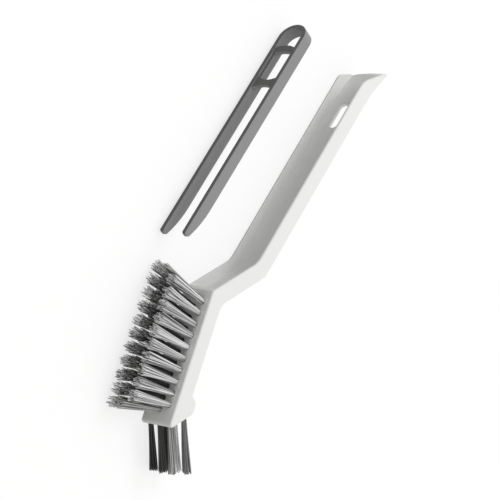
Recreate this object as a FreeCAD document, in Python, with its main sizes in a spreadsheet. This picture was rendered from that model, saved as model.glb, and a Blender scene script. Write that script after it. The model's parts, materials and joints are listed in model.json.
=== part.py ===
import FreeCAD, Part
import math
import os
import Sketcher

# A crevice brush lying on its left flank: +Y runs up the handle to its hanging tip, +X is the back of
# the brush, -X its front with the bristles and the open channel, and +Z the width, from left flank to
# right flank. The origin is on the left flank, at mid depth of the handle, where it bends into the neck.

# Lengths in millimetres, angles in degrees.
SIZES = {
    "cut_overrun": 2.0,
    # Moulding
    "body_width": 19.0,
    "wall_thickness": 1.2,
    "handle_depth": 9.3,
    "neck_depth": 9.0,
    "head_depth": 8.9,
    "channel_depth": 5.6,
    "floor_thickness": 1.9,
    "rim_length": 116.9,
    "left_rim_rise": 4.0,
    "tip_length": 17.4,
    "tip_slant": 7.3,
    "lip_setback": 3.4,
    "lip_run": 3.9,
    "curl_length": 27.8,
    "curl_radius": 92.0,
    "neck_length": 33.7,
    "neck_angle": 29.0,
    "head_angle": 17.3,
    "channel_neck_length": 31.0,
    "recess_start": 6.0,
    "recess_setback": 4.9,
    # Head, with its slanted end and the nose behind it
    "head_length": 69.2,
    "slant_run": 12.2,
    "nose_depth": 13.1,
    "nose_run": 5.7,
    "nose_root_run": 2.0,
    # Rounding
    "bend_radius": 12.0,
    "neck_back_radius": 8.0,
    "neck_corner_radius": 1.5,
    "rim_corner_radius": 12.0,
    "left_rim_radius": 4.0,
    "lip_corner_radius": 4.0,
    "beak_radius": 0.6,
    "end_corner_radius": 1.6,
    "nose_radius": 4.0,
    "nose_root_radius": 1.5,
    "channel_bend_radius": 8.0,
    "channel_corner_radius": 0.8,
    "flank_radius": 0.9,
    # Hanging slot
    "slot_setback": 10.4,
    "slot_length": 16.0,
    "slot_width": 4.8,
    "slot_lip_radius": 0.5,
    # Tufts of the front face
    "first_tuft_setback": 5.8,
    "last_tuft_setback": 12.1,
    "tuft_row_spacing": 4.8,
    "tuft_radius": 1.35,
    "tuft_tip_radius": 2.6,
    "bristle_length": 28.0,
    "right_first_tuft_angle": 3.7,
    "right_last_tuft_angle": -8.0,
    "left_first_tuft_angle": 8.0,
    "left_last_tuft_angle": -10.5,
    "right_splay_angle": 3.5,
    "left_splay_angle": 1.0,
    "hole_depth": 5.0,
    "hole_clearance": 0.08,
    # Tufts of the slanted end, placed down the slant from the head's front edge
    "end_tuft_angle": 31.0,
    "end_row_start": 4.6,
    "end_row_spacing": 10.0,
    "end_tuft_spacing": 6.0,
    "end_tuft_tip_radius": 1.8,
    "end_bristle_length": 23.6,
    "nose_bristle_length": 28.0,
    "end_hole_depth": 2.8,
    # Metal anchor across the foot of a tuft
    "anchor_height": 1.3,
    "anchor_thickness": 0.5,
    "anchor_bite": 0.45,
    "anchor_rise": 0.8,
    # Clip
    "clip_clearance": 0.25,
    "clip_depth": 6.6,
    "clip_length": 131.0,
    "clip_wall": 2.1,
    "clip_root": 43.0,
    "bar_setback": 0.8,
    "ring_bar_start": 13.0,
    "ring_bar_height": 3.6,
    "ring_bar_depth": 2.7,
    "ring_bar_crown": 1.5,
    "web_start": 35.4,
    "web_height": 3.2,
    "web_depth": 2.4,
    "web_hollow_radius": 9.0,
    "rail_height": 0.9,
    "rail_depth": 1.9,
    "rail_setback": 1.4,
    "prong_taper": 12.0,
    "prong_tip_depth": 3.2,
    "prong_tip_radius": 1.4,
    "clip_stored_reach": 8.65,
    "clip_rest_front": 48.35,
    "clip_rest_drop": 16.2,
}

RIGHT_TUFTS = 10
MIDDLE_TUFTS = 11
LEFT_TUFTS = 11
END_ROWS = 2

# Points nearer than this, in millimetres, are one point.
SAME_PLACE = 0.001


class Size:
    """A size with the expression that ties it to the sheet, and its value there."""

    def __init__(self, text, value):
        self.text = text
        self.value = value

    def __add__(self, other):
        other = as_size(other)
        return Size(f"({self.text} + {other.text})", self.value + other.value)

    def __sub__(self, other):
        other = as_size(other)
        return Size(f"({self.text} - {other.text})", self.value - other.value)

    def __mul__(self, other):
        other = as_size(other)
        return Size(f"({self.text} * {other.text})", self.value * other.value)

    def __truediv__(self, other):
        other = as_size(other)
        return Size(f"({self.text} / {other.text})", self.value / other.value)

    def __neg__(self):
        return Size(f"(0 - {self.text})", -self.value)


def as_size(value):
    return value if isinstance(value, Size) else Size(f"{value:.9f}", float(value))


def sine(angle):
    return Size(f"sin({angle.text})", math.sin(math.radians(angle.value)))


def cosine(angle):
    return Size(f"cos({angle.text})", math.cos(math.radians(angle.value)))


def tangent(angle):
    return Size(f"tan({angle.text})", math.tan(math.radians(angle.value)))


def square_root(area):
    return Size(f"sqrt({area.text})", math.sqrt(area.value))


def make_sheet(doc):
    """The driving sizes, one aliased cell each."""
    sheet = doc.addObject("Spreadsheet::Sheet", "Sizes")
    sizes = {}
    for row, (name, value) in enumerate(SIZES.items(), start=1):
        sheet.set(f"A{row}", name)
        sheet.set(f"B{row}", str(value))
        sheet.setAlias(f"B{row}", name)
        sizes[name] = Size(f"Sizes.{name}", value)
    doc.recompute()
    return sizes


doc = FreeCAD.newDocument("crevice_brush")
S = make_sheet(doc)
ZERO = as_size(0)

# Directions in the XY plane. The neck runs down and to the front, the head down and to the back.
NECK_DOWN = (-sine(S["neck_angle"]), -cosine(S["neck_angle"]))
NECK_BACK = (cosine(S["neck_angle"]), -sine(S["neck_angle"]))
HEAD_DOWN = (sine(S["head_angle"]), -cosine(S["head_angle"]))
HEAD_BACK = (cosine(S["head_angle"]), sine(S["head_angle"]))

FRONT_X = -S["handle_depth"] / 2
BACK_X = S["handle_depth"] / 2
MID_Z = S["body_width"] / 2
CHANNEL_WIDTH = S["body_width"] - S["wall_thickness"] * 2
TIP_Y = S["rim_length"] + S["tip_length"]
CURL_Y = TIP_Y - S["curl_length"]
FRONT_BEND = (FRONT_X, ZERO)


def moved(point, direction, distance):
    return (point[0] + direction[0] * distance, point[1] + direction[1] * distance)


NECK_CORNER = moved(FRONT_BEND, NECK_DOWN, S["neck_length"])


def head_point(along, depth):
    """A point of the head, from its neck corner down the head and back into it."""
    return moved(moved(NECK_CORNER, HEAD_DOWN, along), HEAD_BACK, depth)


def bind(thing, **sizes):
    for name, size in sizes.items():
        thing.setExpression(name, as_size(size).text)


def place(thing, x=ZERO, y=ZERO, z=ZERO, turn=None):
    """Tie a thing's place to the sheet, with its turn about Z where it has one."""
    for axis, size in zip("xyz", (x, y, z)):
        thing.setExpression(f"Placement.Base.{axis}", size.text)
    if turn is not None:
        thing.setExpression("Placement.Rotation.Angle", turn.text)


def arc_between(start, end, radius):
    """The short arc that turns to the right on its way from start to end."""
    chord = end - start
    height = math.sqrt(radius ** 2 - (chord.Length / 2) ** 2)
    right = FreeCAD.Vector(chord.y, -chord.x, 0).normalize()
    centre = (start + end) / 2 + right * height
    circle = Part.Circle(centre, FreeCAD.Vector(0, 0, 1), radius)
    angles = [math.atan2(p.y - centre.y, p.x - centre.x) for p in (end, start)]
    return Part.ArcOfCircle(circle, angles[0], angles[1])


def new_sketch(body, name, role):
    sketch = body.newObject("Sketcher::SketchObject", name)
    plane = next(f for f in body.Origin.OriginFeatures if f.Role == role)
    sketch.AttachmentSupport = [(plane, "")]
    sketch.MapMode = "FlatFace"
    return sketch


def hold(sketch, kind, *places, size):
    index = sketch.addConstraint(Sketcher.Constraint(kind, *places, size.value))
    sketch.setExpression(f"Constraints[{index}]", size.text)


def closed_outline(body, name, corners, arcs=None, plane="XY_Plane"):
    """A closed outline, each corner held to the origin and each arc to its radius."""
    arcs = arcs or {}
    sketch = new_sketch(body, name, plane)
    points = [FreeCAD.Vector(x.value, y.value, 0) for x, y in corners]
    count = len(points)
    ends = []
    for i, start in enumerate(points):
        end = points[(i + 1) % count]
        if i in arcs:
            sketch.addGeometry(arc_between(start, end, arcs[i].value))
            ends.append((2, 1))
        else:
            sketch.addGeometry(Part.LineSegment(start, end))
            ends.append((1, 2))
    for i, (x, y) in enumerate(corners):
        following = (i + 1) % count
        sketch.addConstraint(
            Sketcher.Constraint("Coincident", i, ends[i][1], following, ends[following][0]))
        hold(sketch, "DistanceX", i, ends[i][0], size=x)
        hold(sketch, "DistanceY", i, ends[i][0], size=y)
    for i, radius in arcs.items():
        hold(sketch, "Radius", i, size=radius)
    doc.recompute()
    return sketch


def pad(body, name, sketch, length):
    feature = body.newObject("PartDesign::Pad", name)
    feature.Profile = sketch
    bind(feature, Length=length)
    doc.recompute()
    return feature


def pocket(body, name, sketch, length):
    """A cut from the sketch towards its normal, checked to have taken something away."""
    before = body.Shape.Volume
    feature = body.newObject("PartDesign::Pocket", name)
    feature.Profile = sketch
    feature.Reversed = True
    bind(feature, Length=length)
    doc.recompute()
    if not body.Shape.Volume < before:
        raise RuntimeError(f"{name} cuts nothing")
    return feature


def upright_edges(shape, points):
    """The edges along Z that stand on any of the given points of the XY plane."""
    names = []
    for number, edge in enumerate(shape.Edges, start=1):
        box = edge.BoundBox
        if max(box.XLength, box.YLength) > SAME_PLACE:
            continue
        centre = box.Center
        if any(math.hypot(centre.x - x.value, centre.y - y.value) < SAME_PLACE for x, y in points):
            names.append(f"Edge{number}")
    return names


def round_edges(body, name, names, radius):
    if not names:
        raise RuntimeError(f"{name} finds no edge")
    base = body.Tip
    feature = body.newObject("PartDesign::Fillet", name)
    feature.Base = (base, names)
    bind(feature, Radius=radius)
    doc.recompute()
    if not feature.isValid():
        raise RuntimeError(f"{name} can't round its edges")
    return feature


def level_edges(shape, axis, level):
    """The edges that lie at one level of an axis."""
    names = []
    for number, edge in enumerate(shape.Edges, start=1):
        box = edge.BoundBox
        low, high = getattr(box, f"{axis}Min"), getattr(box, f"{axis}Max")
        if abs(low - level) < SAME_PLACE and abs(high - level) < SAME_PLACE:
            names.append(f"Edge{number}")
    return names


def make_moulding():
    """The white moulding before its tuft holes are drilled."""
    body = doc.addObject("PartDesign::Body", "Moulding")

    # Side outline, from the front of the bend down the neck and head, up the back, and over the tip.
    both_angles = S["neck_angle"] + S["head_angle"]
    notch_along = (S["neck_depth"] - S["head_depth"] * cosine(both_angles)) / sine(both_angles)
    back_bend_y = (S["neck_depth"] * cosine(S["neck_angle"]) - S["handle_depth"]) / tangent(S["neck_angle"])
    back_bend_y = -back_bend_y - S["neck_depth"] * sine(S["neck_angle"])
    curl_rise = S["curl_radius"] - square_root(
        S["curl_radius"] * S["curl_radius"] - S["curl_length"] * S["curl_length"])
    head_end = head_point(S["head_length"], ZERO)
    nose_along = S["head_length"] - S["slant_run"]
    nose = head_point(nose_along, S["nose_depth"])
    nose_shoulder = head_point(nose_along - S["nose_run"], S["nose_depth"])
    nose_start = head_point(nose_along - S["nose_run"] - S["nose_root_run"], S["head_depth"])
    notch = head_point(notch_along, S["head_depth"])
    back_bend = (BACK_X, back_bend_y)
    curl_start = (BACK_X, CURL_Y)
    beak = (BACK_X + curl_rise, TIP_Y)
    lip = (beak[0] - S["lip_run"], TIP_Y - S["lip_setback"])
    rim_corner = (FRONT_X, S["rim_length"])
    corners = [FRONT_BEND, NECK_CORNER, head_end, nose, nose_shoulder, nose_start, notch,
               back_bend, curl_start, beak, lip, rim_corner]
    side = closed_outline(body, "SideOutline", corners, {corners.index(curl_start): S["curl_radius"]})
    pad(body, "SidePad", side, S["body_width"])
    for name, points, radius in (
            ("BendRounding", [FRONT_BEND, back_bend], S["bend_radius"]),
            ("NotchRounding", [notch], S["neck_back_radius"]),
            ("NeckCornerRounding", [NECK_CORNER], S["neck_corner_radius"]),
            ("EndRounding", [head_end], S["end_corner_radius"]),
            ("NoseRounding", [nose, nose_shoulder], S["nose_radius"]),
            ("NoseRootRounding", [nose_start], S["nose_root_radius"]),
            ("RimRounding", [rim_corner], S["rim_corner_radius"]),
            ("LipRounding", [lip], S["lip_corner_radius"]),
            ("BeakRounding", [beak], S["beak_radius"])):
        round_edges(body, name, upright_edges(body.Shape, points), radius)

    # The left wall's rim, which runs on straight past the right one's before it turns to the lip.
    left_corner = (FRONT_X, S["rim_length"] + S["left_rim_rise"])
    left_foot_y = S["rim_length"] - S["rim_corner_radius"]
    behind_lip = (lip[0] + S["lip_run"] / 4, lip[1])
    left_rim = closed_outline(body, "LeftRimOutline", [
        (FRONT_X, left_foot_y), left_corner, behind_lip, (ZERO, left_foot_y)])
    pad(body, "LeftRimPad", left_rim, S["wall_thickness"])
    round_edges(body, "LeftRimRounding", upright_edges(body.Shape, [left_corner]), S["left_rim_radius"])

    flanks = level_edges(body.Shape, "Z", 0) + level_edges(body.Shape, "Z", S["body_width"].value)
    round_edges(body, "FlankRounding", flanks, S["flank_radius"])

    # Channel that stores the clip, open to the front and over the tip.
    floor_x = FRONT_X + S["channel_depth"]
    floor_radius = S["curl_radius"] + S["handle_depth"] - S["channel_depth"]
    over_tip = S["curl_length"] + S["cut_overrun"]
    floor_rise = floor_radius - square_root(floor_radius * floor_radius - over_tip * over_tip)
    channel_end = moved(FRONT_BEND, NECK_DOWN, S["channel_neck_length"])
    floor_end = moved(channel_end, NECK_BACK, S["channel_depth"])
    floor_bend = (floor_x, -S["channel_depth"] * tangent(S["neck_angle"] / 2))
    mouth_x = channel_end[0] - S["cut_overrun"] * 2
    mouth = moved(channel_end, NECK_BACK, -S["cut_overrun"])
    channel_top = CURL_Y + over_tip
    floor_curl = (floor_x, CURL_Y)
    channel_corners = [mouth, floor_end, floor_bend, floor_curl, (floor_x + floor_rise, channel_top),
                       (mouth_x, channel_top), (mouth_x, mouth[1])]
    channel = closed_outline(body, "ChannelOutline", channel_corners,
                             {channel_corners.index(floor_curl): floor_radius})
    bind(channel, **{"AttachmentOffset.Base.z": S["wall_thickness"]})
    pocket(body, "ChannelPocket", channel, CHANNEL_WIDTH)
    for name, point, radius in (
            ("FloorRounding", floor_bend, S["channel_bend_radius"]),
            ("ChannelEndRounding", floor_end, S["channel_corner_radius"])):
        round_edges(body, name, upright_edges(body.Shape, [point]), radius)

    # Slanted end of the tip, which leaves the right flank longer than the left one.
    slope = S["tip_slant"] / S["body_width"]
    low_z = -S["cut_overrun"]
    high_z = S["body_width"] + S["cut_overrun"]
    past_tip = TIP_Y + S["tip_slant"]
    left_y = TIP_Y + (low_z - S["body_width"]) * slope
    right_y = TIP_Y + S["cut_overrun"] * slope
    slant_corners = [(left_y, low_z), (right_y, high_z), (past_tip, high_z), (past_tip, low_z)]
    slant = closed_outline(body, "SlantOutline", slant_corners, plane="YZ_Plane")
    bind(slant, **{"AttachmentOffset.Base.z": FRONT_X})
    pocket(body, "SlantPocket", slant, S["handle_depth"] + curl_rise + S["cut_overrun"])

    # Shallow recess in the handle's back, which leaves the channel floor as thin as the slot shows it.
    recess_x = floor_x + S["floor_thickness"]
    outside_x = BACK_X + S["cut_overrun"]
    recess_end = S["rim_length"] - S["recess_setback"]
    recess_corners = [(recess_x, S["recess_start"]), (outside_x, S["recess_start"]),
                      (outside_x, recess_end), (recess_x, recess_end)]
    recess = closed_outline(body, "RecessOutline", recess_corners)
    bind(recess, **{"AttachmentOffset.Base.z": S["wall_thickness"]})
    pocket(body, "RecessPocket", recess, CHANNEL_WIDTH)

    # Hanging slot through the floor, with a rounded lip inside the channel.
    slot = new_sketch(body, "SlotOutline", "YZ_Plane")
    radius = S["slot_width"] / 2
    slot_end = S["rim_length"] - S["slot_setback"]
    slot_start = slot_end - S["slot_length"]
    centres = (slot_start + radius, slot_end - radius)
    quarter = math.pi / 2
    low, high = [FreeCAD.Vector(c.value, MID_Z.value, 0) for c in centres]
    up = FreeCAD.Vector(0, radius.value, 0)
    normal = FreeCAD.Vector(0, 0, 1)
    slot.addGeometry(Part.ArcOfCircle(Part.Circle(low, normal, radius.value), quarter, quarter * 3))
    slot.addGeometry(Part.LineSegment(low - up, high - up))
    slot.addGeometry(Part.ArcOfCircle(Part.Circle(high, normal, radius.value), -quarter, quarter))
    slot.addGeometry(Part.LineSegment(high + up, low + up))
    for first, second in ((0, 1), (1, 2), (2, 3), (3, 0)):
        slot.addConstraint(Sketcher.Constraint("Tangent", first, 2, second, 1))
    for arc, centre in zip((0, 2), centres):
        hold(slot, "DistanceX", arc, 3, size=centre)
        hold(slot, "DistanceY", arc, 3, size=MID_Z)
        hold(slot, "Radius", arc, size=radius)
    doc.recompute()
    pocket(body, "SlotPocket", slot, S["handle_depth"])
    floor_edges = level_edges(body.Shape, "X", floor_x.value)
    lowest = slot_start.value - SAME_PLACE
    highest = slot_end.value + SAME_PLACE
    beside = (MID_Z - S["slot_width"]).value
    slot_edges = []
    for name in floor_edges:
        edge_box = body.Shape.getElement(name).BoundBox
        if lowest < edge_box.YMin and edge_box.YMax < highest and edge_box.ZMin > beside:
            slot_edges.append(name)
    round_edges(body, "SlotLip", slot_edges, S["slot_lip_radius"])
    return body


def along_x(thing, inward):
    """Turn a cylinder or cone to run along X, inward to the back or outward to the front."""
    angle = 90 if inward else -90
    thing.Placement = FreeCAD.Placement(FreeCAD.Vector(), FreeCAD.Rotation(FreeCAD.Vector(0, 1, 0), angle))
    return thing


def make_tuft_set(name, hole_depth, length, tip_radius):
    """One tuft with its hole and anchor, about the tuft's root, with its bristles towards -X."""
    hole_radius = S["tuft_radius"] + S["hole_clearance"]
    anchor = doc.addObject("Part::Box", f"{name}Anchor")
    width = hole_radius * 2 + S["anchor_bite"] * 2
    bind(anchor, Length=S["anchor_height"], Width=S["anchor_thickness"], Height=width)
    place(anchor, hole_depth - S["anchor_rise"] - S["anchor_height"], -S["anchor_thickness"] / 2, -width / 2)

    drill = along_x(doc.addObject("Part::Cylinder", f"{name}Drill"), True)
    bind(drill, Radius=hole_radius, Height=hole_depth + S["cut_overrun"])
    drill.setExpression("Placement.Base.x", (-S["cut_overrun"]).text)
    hole = doc.addObject("Part::MultiFuse", f"{name}Hole")
    hole.Shapes = [drill, anchor]

    root = along_x(doc.addObject("Part::Cylinder", f"{name}Root"), True)
    bind(root, Radius=S["tuft_radius"], Height=hole_depth - S["hole_clearance"])
    flare = along_x(doc.addObject("Part::Cone", f"{name}Flare"), False)
    bind(flare, Radius1=S["tuft_radius"], Radius2=tip_radius, Height=length)
    whole = doc.addObject("Part::MultiFuse", f"{name}Whole")
    whole.Shapes = [root, flare]
    tuft = doc.addObject("Part::Cut", f"{name}Form")
    tuft.Base = whole
    tuft.Tool = anchor
    return {"tuft": tuft, "hole": hole, "anchor": anchor}


def put(name, form, root, z, turn):
    """A copy of a form at a root point, turned about Z."""
    copy = doc.addObject("Part::Compound", name)
    copy.Label = name
    copy.Links = [form]
    place(copy, root[0], root[1], z, turn)
    return copy


def tipped(name, forms, side, splay):
    """The forms of a tuft, tipped sideways by the splay of its row."""
    copies = {}
    for kind, form in forms.items():
        copy = doc.addObject("Part::Compound", f"{name}_{kind}")
        copy.Links = [form]
        tip = FreeCAD.Rotation(FreeCAD.Vector(0, side, 0), splay.value)
        copy.Placement = FreeCAD.Placement(FreeCAD.Vector(), tip)
        copy.setExpression("Placement.Rotation.Angle", splay.text)
        copies[kind] = copy
    return copies


def tuft_places():
    """Every tuft of the front face: its name, side of the middle row, root, width place and turn."""
    first = S["first_tuft_setback"]
    row_length = S["head_length"] - S["last_tuft_setback"] - first
    pitch = row_length / (RIGHT_TUFTS - 1)
    right_leans = (S["right_first_tuft_angle"], S["right_last_tuft_angle"])
    left_leans = (S["left_first_tuft_angle"], S["left_last_tuft_angle"])
    middle_leans = [(right + left) / 2 for right, left in zip(right_leans, left_leans)]
    rows = (("right", 1, RIGHT_TUFTS, first, right_leans),
            ("middle", 0, MIDDLE_TUFTS, first - pitch / 2, middle_leans),
            ("left", -1, LEFT_TUFTS, first - pitch / 2, left_leans))
    for row, side, count, start, (first_lean, last_lean) in rows:
        z = MID_Z + S["tuft_row_spacing"] * side
        for number in range(count):
            along = start + pitch * number
            share = (along - first) / row_length
            lean = first_lean + (last_lean - first_lean) * share
            yield f"{row}_tuft_{number + 1}", side, head_point(along, ZERO), z, S["head_angle"] - lean


def end_tuft_places():
    """Every tuft of the slanted end: its name, place from front edge to nose, root, width place and turn."""
    slant = (-S["slant_run"], S["nose_depth"])
    slant_length = square_root(slant[0] * slant[0] + slant[1] * slant[1])
    turn = S["head_angle"] + S["end_tuft_angle"] + 90
    for row, side in (("left", -1), ("middle", 0), ("right", 1)):
        for number in range(END_ROWS):
            share = (S["end_row_start"] + S["end_row_spacing"] * number) / slant_length
            root = head_point(S["head_length"] + slant[0] * share, slant[1] * share)
            yield f"{row}_end_tuft_{number + 1}", number, root, MID_Z + S["end_tuft_spacing"] * side, turn


def make_tufts():
    """The tufts with their anchors, and the holes that they sit in."""
    tufts, holes, anchor_groups = [], [], []
    main = make_tuft_set("Main", S["hole_depth"], S["bristle_length"], S["tuft_tip_radius"])
    main_forms = {0: main, 1: tipped("Right", main, 1, S["right_splay_angle"]),
                  -1: tipped("Left", main, -1, S["left_splay_angle"])}
    end_forms = [make_tuft_set(name, S["end_hole_depth"], length, S["end_tuft_tip_radius"])
                 for name, length in (("End", S["end_bristle_length"]), ("Nose", S["nose_bristle_length"]))]
    sets = ((tuft_places(), main_forms, "main_anchors"), (end_tuft_places(), end_forms, "end_anchors"))
    for places, forms, anchors_name in sets:
        anchors = []
        for name, form, root, z, turn in places:
            tufts.append(put(name, forms[form]["tuft"], root, z, turn))
            holes.append(put(f"{name}_hole", forms[form]["hole"], root, z, turn))
            anchors.append(put(f"{name}_anchor", forms[form]["anchor"], root, z, turn))
        group = doc.addObject("Part::Compound", anchors_name)
        group.Label = anchors_name
        group.Links = anchors
        anchor_groups.append(group)
    return tufts, holes, anchor_groups


def make_brush_body(holes):
    moulding = make_moulding()
    drilling = doc.addObject("Part::Compound", "Drilling")
    drilling.Links = holes
    brush_body = doc.addObject("Part::Cut", "brush_body")
    brush_body.Label = "brush_body"
    brush_body.Base = moulding
    brush_body.Tool = drilling
    return brush_body


def box(name, length, width, height, x, y, z):
    thing = doc.addObject("Part::Box", name)
    bind(thing, Length=length, Width=width, Height=height)
    place(thing, x, y, z)
    return thing


def disc(name, radius, height, x, y):
    """A round slug along X on the clip's mid plane."""
    thing = along_x(doc.addObject("Part::Cylinder", name), True)
    bind(thing, Radius=radius, Height=height)
    thing.setExpression("Placement.Base.x", x.text)
    thing.setExpression("Placement.Base.y", y.text)
    return thing


def join(name, things):
    joined = doc.addObject("Part::MultiFuse", name)
    joined.Shapes = things
    joined.Refine = True
    return joined


def cut(name, base, tool):
    result = doc.addObject("Part::Cut", name)
    result.Base = base
    result.Tool = tool
    return result


CLIP_WIDTH = CHANNEL_WIDTH - S["clip_clearance"] * 2
CLIP_STORED_X = FRONT_X + S["channel_depth"] - S["clip_clearance"] - S["clip_depth"]
CLIP_X = CLIP_STORED_X - S["clip_rest_front"]
CLIP_Y = S["rim_length"] + S["clip_stored_reach"] - S["clip_rest_drop"]


def make_clip_frame():
    """The clip's ring, arched bar and web, from the ring's apex at the origin down to the prongs' roots."""
    half = CLIP_WIDTH / 2
    inner = half - S["clip_wall"]
    over = S["cut_overrun"]
    depth = S["clip_depth"]
    root = S["clip_root"]
    outer = join("ClipOuter", [
        disc("RingOuter", half, depth, ZERO, -half),
        box("LegsOuter", depth, root - half, CLIP_WIDTH, ZERO, -root, -half)])
    hollow = join("ClipHollow", [
        disc("RingInner", inner, depth + over * 2, -over, -half),
        box("LegsInner", depth + over * 2, root - half + over, inner * 2, -over, -root - over, -inner)])
    band = cut("ClipBand", outer, hollow)

    # Arched bar below the ring, its crown towards the ring.
    setback = S["bar_setback"]
    crown = S["ring_bar_crown"]
    arch_radius = (inner * inner + crown * crown) / (crown * 2)
    bar_height = S["ring_bar_height"]
    bar_depth = S["ring_bar_depth"]
    arch_y = -S["ring_bar_start"] - arch_radius
    bar_low = -S["ring_bar_start"] - bar_height - crown
    bar_block = box("ArchBlock", bar_depth, bar_height + crown, inner * 2, setback, bar_low, -inner)
    arch = doc.addObject("Part::Common", "Arch")
    arch.Base = bar_block
    arch.Tool = disc("ArchRound", arch_radius, bar_depth, setback, arch_y)
    bar = cut("ArchBar", arch, disc("ArchHollow", arch_radius, depth, ZERO, arch_y - bar_height))

    # Web between the window and the fork, hollowed round on both sides.
    hollow_radius = S["web_hollow_radius"]
    web_hollow = hollow_radius - square_root(hollow_radius * hollow_radius - inner * inner)
    web_end = -S["web_start"] - S["web_height"]
    web_block = box("WebBlock", S["web_depth"], S["web_height"] + web_hollow * 2, inner * 2,
                    setback, web_end - web_hollow, -inner)
    web_rounds = join("WebRounds", [
        disc("WindowRound", hollow_radius, depth, ZERO, hollow_radius - S["web_start"]),
        disc("ForkRound", hollow_radius, depth, ZERO, web_end - hollow_radius)])
    web = cut("Web", web_block, web_rounds)

    # Rails along the inside of the window.
    rail_top = -S["ring_bar_start"] - S["ring_bar_height"]
    rails = [box(f"{side}Rail", S["rail_depth"], rail_top + S["web_start"], S["rail_height"],
                 S["rail_setback"], -S["web_start"], z)
             for side, z in (("Left", -inner), ("Right", inner - S["rail_height"]))]

    frame = join("clip_frame", [band, bar, web] + rails)
    frame.Label = "clip_frame"
    place(frame, CLIP_X, CLIP_Y, MID_Z)
    return frame


def make_prong(name, z):
    """One prong of the fork, its back tapered to a rounded tip."""
    body = doc.addObject("PartDesign::Body", name)
    body.Label = name
    depth = S["clip_depth"]
    tip_y = -S["clip_length"]
    front_tip = (ZERO, tip_y)
    back_tip = (S["prong_tip_depth"], tip_y)
    root_y = -S["clip_root"]
    side = closed_outline(body, f"{name}_outline", [
        (ZERO, root_y), front_tip, back_tip, (depth, tip_y + S["prong_taper"]), (depth, root_y)])
    pad(body, f"{name}_pad", side, S["clip_wall"])
    round_edges(body, f"{name}_tip", upright_edges(body.Shape, [front_tip, back_tip]), S["prong_tip_radius"])
    place(body, CLIP_X, CLIP_Y, z)
    return body


def failed_objects():
    return [thing.Name for thing in doc.Objects if "Invalid" in thing.State or "Error" in thing.State]


def main():
    tufts, holes, anchors = make_tufts()
    subparts = [make_brush_body(holes)] + tufts + anchors
    subparts.append(make_clip_frame())
    subparts.append(make_prong("left_prong", MID_Z - CLIP_WIDTH / 2))
    subparts.append(make_prong("right_prong", MID_Z + CLIP_WIDTH / 2 - S["clip_wall"]))
    doc.recompute()

    if failed_objects():
        raise RuntimeError(f"failed objects: {failed_objects()}")
    for part in subparts:
        if part.Shape.isNull() or not part.Shape.isValid():
            raise RuntimeError(f"{part.Label} has no valid shape")
    os.makedirs("parts", exist_ok=True)
    for part in subparts:
        part.Shape.exportStep(os.path.join("parts", f"{part.Label}.step"))
        print(part.Label, len(part.Shape.Solids), f"{part.Shape.Volume:.2f}")


main()
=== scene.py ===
import json
import math
import random

import bmesh
import bpy
import numpy as np
from mathutils import Matrix, Vector


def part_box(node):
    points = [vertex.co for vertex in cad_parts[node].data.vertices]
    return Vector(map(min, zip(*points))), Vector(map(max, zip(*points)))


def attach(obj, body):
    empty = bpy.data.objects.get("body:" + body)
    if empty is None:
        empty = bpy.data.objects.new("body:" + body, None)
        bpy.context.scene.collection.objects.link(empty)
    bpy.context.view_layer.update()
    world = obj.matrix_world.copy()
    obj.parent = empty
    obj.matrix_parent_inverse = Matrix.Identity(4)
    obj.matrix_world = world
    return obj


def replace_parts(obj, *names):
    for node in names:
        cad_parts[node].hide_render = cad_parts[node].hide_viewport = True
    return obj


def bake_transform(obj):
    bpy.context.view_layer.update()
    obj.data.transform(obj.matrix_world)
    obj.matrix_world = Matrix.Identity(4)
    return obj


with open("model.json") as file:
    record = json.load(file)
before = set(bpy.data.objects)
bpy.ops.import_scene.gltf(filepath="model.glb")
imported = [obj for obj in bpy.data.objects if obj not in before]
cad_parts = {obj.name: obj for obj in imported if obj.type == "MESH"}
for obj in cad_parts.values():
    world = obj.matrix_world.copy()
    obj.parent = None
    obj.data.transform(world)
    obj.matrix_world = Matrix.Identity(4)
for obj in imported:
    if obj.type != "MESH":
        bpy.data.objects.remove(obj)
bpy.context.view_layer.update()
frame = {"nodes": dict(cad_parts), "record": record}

MM = 0.001
FULL_TURN = 2 * math.pi
AXIS_X = Vector((1, 0, 0))
AXIS_Y = Vector((0, 1, 0))
AXIS_Z = Vector((0, 0, 1))

# Camera, fitted to the photograph: its axes in the row frame, its place and its focal length in pixels.
IMAGE_PIXELS = 500
FOCAL_PIXELS = 2000
SENSOR_MM = 36
CAMERA_RIGHT = Vector((0.470159, 0.457230, 0.754911))
CAMERA_DOWN = Vector((0.618225, -0.781055, 0.088034))
CAMERA_AHEAD = Vector((0.629880, 0.425315, -0.649891))
CAMERA_PLACE = Vector((-0.615048, -0.405227, 0.639124))
CAMERA_NEAR = 0.01
CAMERA_FAR = 20

# Studio light and floor.
BACKDROP_COLOUR = (1, 1, 1, 1)
WORLD_COLOUR = (1.0, 0.994, 0.976, 1)
WORLD_STRENGTH = 0.78
WORLD_FRONT_FALL = 0.3
FLOOR_SIZE = 6.0
FLOOR_ALBEDO = 0.28
FLOOR_GLOW = 0.74
KEY_AIM = Vector((0, 0.02, 0))
KEY_PLACE = Vector((-0.15, 0.95, 1.2))
KEY_SIZE = 0.7
KEY_POWER = 6
KEY_COLOUR = (0.955, 0.97, 1.0)

# Noise in the materials: scales per metre, and details.
CLOUD_SCALE = 60
CLOUD_DETAIL = 4
SATIN_SCALE = 900
SATIN_DETAIL = 3
GRAIN_SCALE = 4500
GRAIN_DEPTH = 0.04 * MM
WIRE_SCALE = 2500
WIRE_SATIN_SCALE = 4000
FILAMENT_SATIN_SCALE = 6000
FINE_DETAIL = 2


def link(thing):
    bpy.context.scene.collection.objects.link(thing)
    return thing


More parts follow.
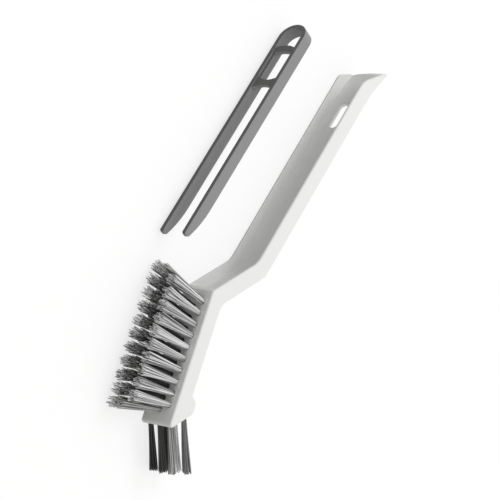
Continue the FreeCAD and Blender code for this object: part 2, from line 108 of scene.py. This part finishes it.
def make_camera():
    data = bpy.data.cameras.new("camera")
    data.sensor_width = SENSOR_MM
    data.lens = FOCAL_PIXELS * SENSOR_MM / IMAGE_PIXELS
    data.clip_start = CAMERA_NEAR
    data.clip_end = CAMERA_FAR
    camera = link(bpy.data.objects.new("camera", data))
    turn = Matrix((CAMERA_RIGHT, -CAMERA_DOWN, -CAMERA_AHEAD)).transposed()
    camera.matrix_world = Matrix.Translation(CAMERA_PLACE) @ turn.to_4x4()
    bpy.context.scene.camera = camera


class Tree:
    """A node tree under construction, with short calls to add and link its nodes."""

    def __init__(self, owner):
        owner.use_nodes = True
        self.nodes = owner.node_tree.nodes
        self.links = owner.node_tree.links
        self.nodes.clear()

    def add(self, kind, **settings):
        node = self.nodes.new(f"ShaderNode{kind}")
        for name, value in settings.items():
            setattr(node, name, value)
        return node

    def put(self, node, socket, value):
        """Sets a socket, or links another socket to it."""
        if isinstance(value, bpy.types.NodeSocket):
            self.links.new(value, node.inputs[socket])
        else:
            node.inputs[socket].default_value = value

    def math(self, operation, first, second):
        node = self.add("Math", operation=operation)
        self.put(node, 0, first)
        self.put(node, 1, second)
        return node.outputs[0]

    def noise(self, scale, detail):
        """Noise in the object's own space, which is the row frame in metres."""
        node = self.add("TexNoise")
        self.put(node, "Scale", scale)
        self.put(node, "Detail", detail)
        self.put(node, "Vector", self.add("TexCoord").outputs["Object"])
        return node.outputs["Fac"]

    def spread(self, value, low, high):
        """A value from 0 to 1 mapped to a range."""
        node = self.add("MapRange")
        self.put(node, "Value", value)
        self.put(node, "To Min", low)
        self.put(node, "To Max", high)
        return node.outputs["Result"]

    def ramp(self, value, first, second):
        """A value from 0 to 1 mapped to a run between two colours."""
        node = self.add("ValToRGB")
        node.color_ramp.elements[0].color = (*first, 1)
        node.color_ramp.elements[1].color = (*second, 1)
        self.put(node, "Fac", value)
        return node.outputs["Color"]

    def bump(self, height, strength, distance):
        node = self.add("Bump")
        self.put(node, "Strength", strength)
        self.put(node, "Distance", distance)
        self.put(node, "Height", height)
        return node.outputs["Normal"]

    def seen_straight(self):
        """1 on rays that show a background: from the camera, off gloss or through glass."""
        path = self.add("LightPath").outputs
        seen = self.math("MAXIMUM", path["Is Camera Ray"], path["Is Glossy Ray"])
        return self.math("MAXIMUM", seen, path["Is Transmission Ray"])

    def principled(self, sockets):
        """A principled surface with these sockets, linked to the material's output."""
        shader = self.add("BsdfPrincipled")
        for socket, value in sockets.items():
            self.put(shader, socket, value)
        self.put(self.add("OutputMaterial"), "Surface", shader.outputs[0])


def make_world():
    """Soft light from all round, weaker from the brush's front, on a white backdrop."""
    world = bpy.data.worlds.new("studio")
    bpy.context.scene.world = world
    tree = Tree(world)
    ambient = tree.add("Background")
    tree.put(ambient, "Color", WORLD_COLOUR)
    towards = tree.add("SeparateXYZ")
    tree.put(towards, 0, tree.add("TexCoord").outputs["Generated"])
    fall = tree.math("MULTIPLY", towards.outputs["X"], WORLD_FRONT_FALL)
    tree.put(ambient, "Strength", tree.math("ADD", fall, WORLD_STRENGTH))
    backdrop = tree.add("Background")
    tree.put(backdrop, "Color", BACKDROP_COLOUR)
    mix = tree.add("MixShader")
    tree.put(mix, "Fac", tree.seen_straight())
    tree.put(mix, 1, ambient.outputs[0])
    tree.put(mix, 2, backdrop.outputs[0])
    tree.put(tree.add("OutputWorld"), "Surface", mix.outputs[0])


def make_floor():
    """A white floor that takes soft shadows and fades into the backdrop."""
    bpy.ops.mesh.primitive_plane_add(size=FLOOR_SIZE)
    floor = bpy.context.object
    floor.name = "floor"
    material = bpy.data.materials.new("floor_white")
    tree = Tree(material)
    matt = tree.add("BsdfDiffuse")
    tree.put(matt, "Color", (FLOOR_ALBEDO, FLOOR_ALBEDO, FLOOR_ALBEDO, 1))
    glow = tree.add("Emission")
    tree.put(glow, "Color", BACKDROP_COLOUR)
    tree.put(glow, "Strength", tree.math("MULTIPLY", tree.seen_straight(), FLOOR_GLOW))
    both = tree.add("AddShader")
    tree.put(both, 0, matt.outputs[0])
    tree.put(both, 1, glow.outputs[0])
    tree.put(tree.add("OutputMaterial"), "Surface", both.outputs[0])
    floor.data.materials.append(material)


def make_key():
    """The one lamp, a soft square above the handle's end."""
    data = bpy.data.lights.new("key", "AREA")
    data.shape = "SQUARE"
    data.size = KEY_SIZE
    data.energy = KEY_POWER
    data.color = KEY_COLOUR
    lamp = link(bpy.data.objects.new("key", data))
    lamp.location = KEY_PLACE
    lamp.rotation_euler = (KEY_AIM - KEY_PLACE).to_track_quat("-Z", "Y").to_euler()


def plastic(name, dark, light, roughness, grain, gloss):
    """Moulded plastic: faint clouding, uneven satin gloss and a fine moulded grain."""
    material = bpy.data.materials.new(name)
    tree = Tree(material)
    tree.principled({
        "Base Color": tree.ramp(tree.noise(CLOUD_SCALE, CLOUD_DETAIL), dark, light),
        "Roughness": tree.spread(tree.noise(SATIN_SCALE, SATIN_DETAIL), *roughness),
        "Normal": tree.bump(tree.noise(GRAIN_SCALE, FINE_DETAIL), grain, GRAIN_DEPTH),
        "Specular IOR Level": gloss})
    return material


def metal(name, dark, light, roughness):
    """Flat drawn wire, finely mottled."""
    material = bpy.data.materials.new(name)
    tree = Tree(material)
    tree.principled({
        "Base Color": tree.ramp(tree.noise(WIRE_SCALE, FINE_DETAIL), dark, light),
        "Metallic": 1.0,
        "Roughness": tree.spread(tree.noise(WIRE_SATIN_SCALE, FINE_DETAIL), *roughness)})
    return material


def bristle(name, dark, light, roughness):
    """Nylon filament, each strand with a tone of its own; the tones also carry painted light and shade."""
    material = bpy.data.materials.new(name)
    tree = Tree(material)
    tone = tree.add("Attribute", attribute_name="tone")
    tree.principled({
        "Base Color": tree.ramp(tone.outputs["Fac"], dark, light),
        "Roughness": tree.spread(tree.noise(FILAMENT_SATIN_SCALE, FINE_DETAIL), *roughness)})
    return material


WHITE = plastic("white_plastic", dark=(0.845, 0.845, 0.835), light=(0.875, 0.875, 0.868),
                roughness=(0.34, 0.44), grain=0.12, gloss=0.4)
GREY = plastic("grey_plastic", dark=(0.255, 0.255, 0.26), light=(0.29, 0.29, 0.295),
               roughness=(0.38, 0.5), grain=0.25, gloss=0.25)
# The clip's grey made darker for its front faces: painted shade where the front gets little light.
GREY_PAINTED_SHADE = plastic("grey_plastic_painted_shade", dark=(0.135, 0.135, 0.134), light=(0.16, 0.16, 0.157),
                     roughness=(0.42, 0.55), grain=0.25, gloss=0.2)
BRASS = metal("anchor_brass", dark=(0.62, 0.5, 0.26), light=(0.78, 0.66, 0.38), roughness=(0.25, 0.45))
LIGHT_FILAMENT = bristle("light_filament", dark=(0.1, 0.1, 0.102), light=(0.92, 0.92, 0.93),
                         roughness=(0.36, 0.52))
DARK_FILAMENT = bristle("dark_filament", dark=(0.012, 0.012, 0.012), light=(0.62, 0.62, 0.61),
                        roughness=(0.36, 0.52))
NODE_MATERIALS = {"body_white": WHITE, "anchor_metal": BRASS}
BRISTLE_MATERIALS = {"bristle_light": LIGHT_FILAMENT, "bristle_dark": DARK_FILAMENT}


def dress(name, material):
    """Gives a CAD node its material."""
    thing = frame["nodes"][name]
    thing.data.materials.clear()
    thing.data.materials.append(material)


def mesh_piece(name, points, faces, materials):
    mesh = bpy.data.meshes.new(name)
    mesh.from_pydata([tuple(p) for p in points], [], faces)
    mesh.validate()
    mesh.update()
    for material in materials:
        mesh.materials.append(material)
    return link(bpy.data.objects.new(name, mesh))


def tube_faces(first, rings, sides):
    """Faces of a closed tube through rings of points, which are numbered on from the first."""
    faces = []
    for i in range(rings - 1):
        for j in range(sides):
            a, b = first + i * sides + j, first + i * sides + (j + 1) % sides
            faces.append((a, b, b + sides, a + sides))
    last = first + (rings - 1) * sides
    faces.append(tuple(range(first + sides - 1, first - 1, -1)))
    faces.append(tuple(range(last, last + sides)))
    return faces


# Reading a tuft's solid: how thick a slice counts as its end, and how close two radii are the same.
END_SLICE = 0.3 * MM
SAME_RADIUS = 0.01 * MM
AXIS_PASSES = 3

# Strands, their stations from root to tip, and how they fan out and are cut.
SEED = 11
STRANDS = 36
STRAND_RADIUS = 0.25 * MM
STRAND_SIDES = 5
STRAND_STATIONS = (-0.06, 0.0, 0.25, 0.5, 0.75, 0.93, 1.0)
GOLDEN_ANGLE = math.pi * (3 - math.sqrt(5))
ANGLE_JITTER = 0.25
TRIM = 0.6 * MM
RAGGED = 0.4 * MM
RAGGED_SHORT = 1.2 * MM
RAGGED_LONG = 0.6 * MM
FAN = 1.22
FAN_POWER = 1.3
STRAY = 0.22 * MM
BOW = 0.3 * MM

# Strands' tones: by row, with the change to the tip, and for single tufts. The left row is paler than the
# right, painted light where it lies in the other rows' shade; the middle row, of dark filament, is darker
# still towards its roots: painted shade between the tufts.
ROW_TONES = {"right": 0.62, "middle": 0.06, "left": 0.9}
TIP_GAINS = {"right": 0.9, "middle": 4, "left": 0.8}
TIP_TONE_FROM = 0.6
# The middle row's top and bottom tufts are paler than the rest of the row: painted light where nothing shades
# them. The lower end tufts are near black, partly their dark filament and partly painted shade under the end
# tufts above them.
TUFT_TONES = {"middle_tuft_1": 0.85, "middle_tuft_11": 0.7,
              "left_end_tuft_1": 0.015, "left_end_tuft_2": 0.01, "middle_end_tuft_1": 0.04,
              "right_end_tuft_1": 0.52, "middle_end_tuft_2": 0.6, "right_end_tuft_2": 0.12}
TONE_SPREAD = 0.58
# Share of strands whose ends are paler, a painted highlight on the cut tips; how much paler, and from where
# along the strand.
TIP_HIGHLIGHT_SHARE = 0.55
TIP_HIGHLIGHT_GAIN = 0.7
TIP_HIGHLIGHT_FROM = 0.9


def end_slices(along):
    """Which points lie at the low end, and which at the high end."""
    return along < along.min() + END_SLICE, along > along.max() - END_SLICE


def tuft_shape(node):
    """Where a tuft's CAD solid leaves the head, the middle of its tip, and the radii at both."""
    points = np.array([v.co for v in frame["nodes"][node].data.vertices], float)
    centre = points.mean(0)
    axis = np.linalg.svd(points - centre)[2][0]
    for _ in range(AXIS_PASSES):
        low, high = end_slices((points - centre) @ axis)
        ends = points[low].mean(0), points[high].mean(0)
        axis = (ends[1] - ends[0]) / np.linalg.norm(ends[1] - ends[0])
        centre = ends[0]
    along = (points - centre) @ axis
    out = np.linalg.norm(points - centre - np.outer(along, axis), axis=1)
    low, high = end_slices(along)
    if out[low].max() > out[high].max():
        axis, along, centre = -axis, along.max() - along, ends[1]
        low, high = end_slices(along)
    root_radius, tip_radius = out[low].max(), out[high].max()
    start = along[out < root_radius + SAME_RADIUS].max()
    return Vector(centre + axis * start), Vector(centre + axis * along.max()), root_radius, tip_radius


def make_tuft(node, material, middle_tone, tip_gain, rng):
    """Ragged strands fanning out from the tuft's hole, some with a painted highlight that makes their ends
    paler.
    """
    root, tip, root_radius, tip_radius = tuft_shape(node)
    length = (tip - root).length
    axis = (tip - root).normalized()
    side = axis.orthogonal().normalized()
    other = axis.cross(side)

    def across(angle):
        return side * math.cos(angle) + other * math.sin(angle)

    points, faces, tones = [], [], []
    turn = rng.uniform(0, FULL_TURN)
    for k in range(STRANDS):
        share = math.sqrt((k + 0.5) / STRANDS)
        out = across(turn + k * GOLDEN_ANGLE + rng.uniform(-ANGLE_JITTER, ANGLE_JITTER))
        stray = side * rng.gauss(0, STRAY) + other * rng.gauss(0, STRAY)
        bow = across(rng.uniform(0, FULL_TURN)) * rng.uniform(0, BOW)
        reach = length - TRIM + min(max(rng.gauss(0, RAGGED), -RAGGED_SHORT), RAGGED_LONG)
        tone = middle_tone * max(rng.gauss(1, TONE_SPREAD), 0)
        # Some strands get a painted highlight on their ends.
        tip_highlight = TIP_HIGHLIGHT_GAIN * (rng.random() < TIP_HIGHLIGHT_SHARE)
        faces.extend(tube_faces(len(points), len(STRAND_STATIONS), STRAND_SIDES))
        for t in STRAND_STATIONS:
            grow = max(t, 0) ** FAN_POWER
            fan = root_radius - STRAND_RADIUS + (tip_radius * FAN - root_radius) * grow
            middle = root + axis * (reach * t) + out * share * fan
            middle = middle + stray * grow + bow * math.sin(math.pi * max(t, 0))
            gain = 1 + (tip_gain - 1) * max(t - TIP_TONE_FROM, 0) / (1 - TIP_TONE_FROM)
            for j in range(STRAND_SIDES):
                points.append(middle + across(FULL_TURN * j / STRAND_SIDES) * STRAND_RADIUS)
                tones.append(min(tone * gain * (1 + tip_highlight * (t > TIP_HIGHLIGHT_FROM)), 1))
    piece = mesh_piece(f"{node}_bristles", points, faces, [material])
    piece.data.attributes.new("tone", "FLOAT", "POINT").data.foreach_set("value", tones)
    piece.data.polygons.foreach_set("use_smooth", [len(face) == 4 for face in faces])
    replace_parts(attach(piece, "brush"), node)
    return piece


# Clip's softened edges, and the stations along its bars.
CLIP_EDGE = 0.25 * MM
EDGE_LARGEST_SHARE = 0.45
EDGE_STEPS = 4
EDGE_SUPPORT = 0.2
LEG_STATIONS = 12
RING_STATIONS = 36
BAR_STATIONS = 24
# How far a face must turn towards -X to take the darker grey of the painted shade.
PAINTED_SHADE_FACING = -0.5

# Clip's cross bar, web and side rails. Their ends run a little way into the ring.
BAR_SETBACK = 0.8 * MM
BAR_START = 13.0 * MM
BAR_HEIGHT = 3.6 * MM
BAR_DEPTH = 2.7 * MM
BAR_CROWN = 1.5 * MM
WEB_START = 35.4 * MM
WEB_HEIGHT = 3.2 * MM
WEB_DEPTH = 2.4 * MM
WEB_HOLLOW_RADIUS = 9.0 * MM
RAIL_SETBACK = 1.4 * MM
RAIL_DEPTH = 1.9 * MM
RAIL_HEIGHT = 0.9 * MM
EMBED = 0.5 * MM

# Clip's prongs, with stations in millimetres from the tip.
PRONG_TAPER = 20 * MM
PRONG_TIP_DEPTH = 3.2 * MM
PRONG_TIP_RADIUS = 1.4 * MM
PRONG_SIDE_RADIUS = 1.0 * MM
PRONG_TIP_STATIONS = (0, 0.02, 0.08, 0.2, 0.35, 0.55, 0.8, 1.1, 1.4, 2, 3, 4.5, 6, 8, 10, 12, 14, 16, 18, 20)
PRONG_STEP = 2 * MM


def rounded_section(width, depth):
    """Points round a rectangle with rounded corners, and close points beside each corner."""
    radius = min(CLIP_EDGE, EDGE_LARGEST_SHARE * width, EDGE_LARGEST_SHARE * depth)
    beside = EDGE_SUPPORT * (min(width, depth) - 2 * radius)
    points = []
    for right, up, first in ((1, 1, 0), (-1, 1, 90), (-1, -1, 180), (1, -1, 270)):
        middle = (right * (width / 2 - radius), up * (depth / 2 - radius))
        turns = [math.radians(first + 90 * k / EDGE_STEPS) for k in range(EDGE_STEPS + 1)]
        corner = [(middle[0] + radius * math.cos(a), middle[1] + radius * math.sin(a)) for a in turns]
        start, end = turns[0], turns[-1]
        points.append((corner[0][0] + beside * math.sin(start), corner[0][1] - beside * math.cos(start)))
        points.extend(corner)
        points.append((corner[-1][0] - beside * math.sin(end), corner[-1][1] + beside * math.cos(end)))
    return points


def sweep(name, stations, body=None):
    """A closed bar through stations of (middle, direction across, width across, depth along X)."""
    points = []
    for middle, across, width, depth in stations:
        points.extend(middle + across * u + AXIS_X * v for u, v in rounded_section(width, depth))
    faces = tube_faces(0, len(stations), len(points) // len(stations))
    piece = mesh_piece(name, points, faces, [GREY, GREY_PAINTED_SHADE])
    work = bmesh.new()
    work.from_mesh(piece.data)
    bmesh.ops.recalc_face_normals(work, faces=work.faces)
    for face in work.faces:
        face.smooth = len(face.verts) == 4
        # Faces turned to the front take the darker grey: painted shade on the clip's front.
        face.material_index = int(face.normal.x < PAINTED_SHADE_FACING)
        for edge in face.edges:
            edge.smooth = edge.smooth and face.smooth
    work.to_mesh(piece.data)
    work.free()
    if body:
        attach(piece, body)
    return piece


def inset(reach, radius):
    """How far a rounded end's side lies in from its full width, that far from the end."""
    return radius - math.sqrt(radius ** 2 - max(radius - reach, 0) ** 2)


def eased(share):
    """Rises from 0 to 1, and levels off without a corner."""
    return 1 - (1 - min(share, 1)) ** 2


class Clip:
    """The clip's skin, with the measures that its pieces share, taken from its solids."""

    def __init__(self):
        self.low, self.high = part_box("clip_frame")
        prong_low, prong_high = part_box("left_prong")
        self.wall = prong_high.z - prong_low.z
        self.depth = self.high.x - self.low.x
        self.half = (self.high.z - self.low.z) / 2
        self.inner = self.half - self.wall
        self.mid_x = (self.low.x + self.high.x) / 2
        self.mid_z = (self.low.z + self.high.z) / 2

    def leg_z(self, side):
        """The middle of the left leg, for side -1, or of the right one, for 1."""
        return self.mid_z + side * (self.half - self.wall / 2)

    def make_ring(self):
        ring_y = self.high.y - self.half
        rise = [self.low.y + (ring_y - self.low.y) * k / LEG_STATIONS for k in range(LEG_STATIONS)]
        left, right = ([(Vector((self.mid_x, y, self.leg_z(side))), AXIS_Z * side, self.wall, self.depth)
                        for y in rise] for side in (-1, 1))
        arc = []
        for k in range(RING_STATIONS + 1):
            turn = math.pi * k / RING_STATIONS
            out = AXIS_Y * math.sin(turn) - AXIS_Z * math.cos(turn)
            middle = Vector((self.mid_x, ring_y, self.mid_z)) + out * (self.half - self.wall / 2)
            arc.append((middle, out, self.wall, self.depth))
        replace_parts(sweep("clip_ring", left + arc + right[::-1], "clip"), "clip_frame")

    def make_bar(self):
        """The arched bar across the ring."""
        arch = (self.inner ** 2 + BAR_CROWN ** 2) / (2 * BAR_CROWN)
        x = self.low.x + BAR_SETBACK + BAR_DEPTH / 2
        stations = []
        for k in range(BAR_STATIONS + 1):
            z = (self.inner + EMBED) * (2 * k / BAR_STATIONS - 1)
            y = self.high.y - BAR_START - BAR_HEIGHT / 2 - arch + math.sqrt(arch ** 2 - z ** 2)
            stations.append((Vector((x, y, self.mid_z + z)), AXIS_Y, BAR_HEIGHT, BAR_DEPTH))
        sweep("clip_bar", stations, "clip")

    def make_web(self):
        """The web at the fork's root, hollowed above and below."""
        x = self.low.x + BAR_SETBACK + WEB_DEPTH / 2
        y = self.high.y - WEB_START - WEB_HEIGHT / 2
        across = [self.inner * (2 * k / BAR_STATIONS - 1) for k in range(BAR_STATIONS + 1)]
        stations = []
        for z in [-self.inner - EMBED] + across + [self.inner + EMBED]:
            reach = min(abs(z), self.inner)
            hollow = WEB_HOLLOW_RADIUS - math.sqrt(WEB_HOLLOW_RADIUS ** 2 - reach ** 2)
            stations.append((Vector((x, y, self.mid_z + z)), AXIS_Y, WEB_HEIGHT + 2 * hollow, WEB_DEPTH))
        sweep("clip_web", stations, "clip")

    def make_rails(self):
        """The rails on the legs' inner sides, from the bar to the web."""
        x = self.low.x + RAIL_SETBACK + RAIL_DEPTH / 2
        top, low = self.high.y - BAR_START - BAR_HEIGHT, self.high.y - WEB_START
        for name, side in (("clip_left_rail", -1), ("clip_right_rail", 1)):
            z = self.mid_z + side * (self.inner - (RAIL_HEIGHT - EMBED) / 2)
            sweep(name, [(Vector((x, y, z)), AXIS_Z, RAIL_HEIGHT + EMBED, RAIL_DEPTH)
                         for y in (low, (low + top) / 2, top)], "clip")

    def make_prongs(self):
        """The prongs, which taper to a rounded tip below the fork's root."""
        for node, side in (("left_prong", -1), ("right_prong", 1)):
            tip_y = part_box(node)[0].y
            z = self.leg_z(side)
            reaches = [r * MM for r in PRONG_TIP_STATIONS]
            steps = math.ceil((self.low.y - tip_y - reaches[-1]) / PRONG_STEP)
            step = (self.low.y - tip_y - reaches[-1]) / steps
            reaches += [reaches[-1] + step * (k + 1) for k in range(steps)]
            stations = []
            for reach in reaches:
                front = self.low.x + inset(reach, PRONG_TIP_RADIUS)
                full = PRONG_TIP_DEPTH + (self.depth - PRONG_TIP_DEPTH) * eased(reach / PRONG_TAPER)
                back = self.low.x + full - inset(reach, PRONG_TIP_RADIUS)
                stations.append((Vector(((front + back) / 2, tip_y + reach, z)), AXIS_Z,
                                 self.wall - 2 * inset(reach, PRONG_SIDE_RADIUS), back - front))
            skin = sweep(f"clip_{node}_skin", stations)
            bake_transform(skin)
            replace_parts(skin, node)


def make_brush():
    """Dresses the moulding and the anchors, and gives every tuft its strands."""
    rng = random.Random(SEED)
    for part in frame["record"]["subparts"]:
        node, slot = part["node"], part["material_slot"]
        row = node.split("_")[0]
        if slot in NODE_MATERIALS:
            dress(node, NODE_MATERIALS[slot])
        elif slot in BRISTLE_MATERIALS:
            tone, tip_gain = (TUFT_TONES[node], 1) if node in TUFT_TONES else (ROW_TONES[row], TIP_GAINS[row])
            make_tuft(node, BRISTLE_MATERIALS[slot], tone, tip_gain, rng)


make_camera()
make_world()
make_floor()
make_key()
make_brush()
clip = Clip()
clip.make_ring()
clip.make_bar()
clip.make_web()
clip.make_rails()
clip.make_prongs()

bpy.context.scene.view_settings.view_transform = "Standard"
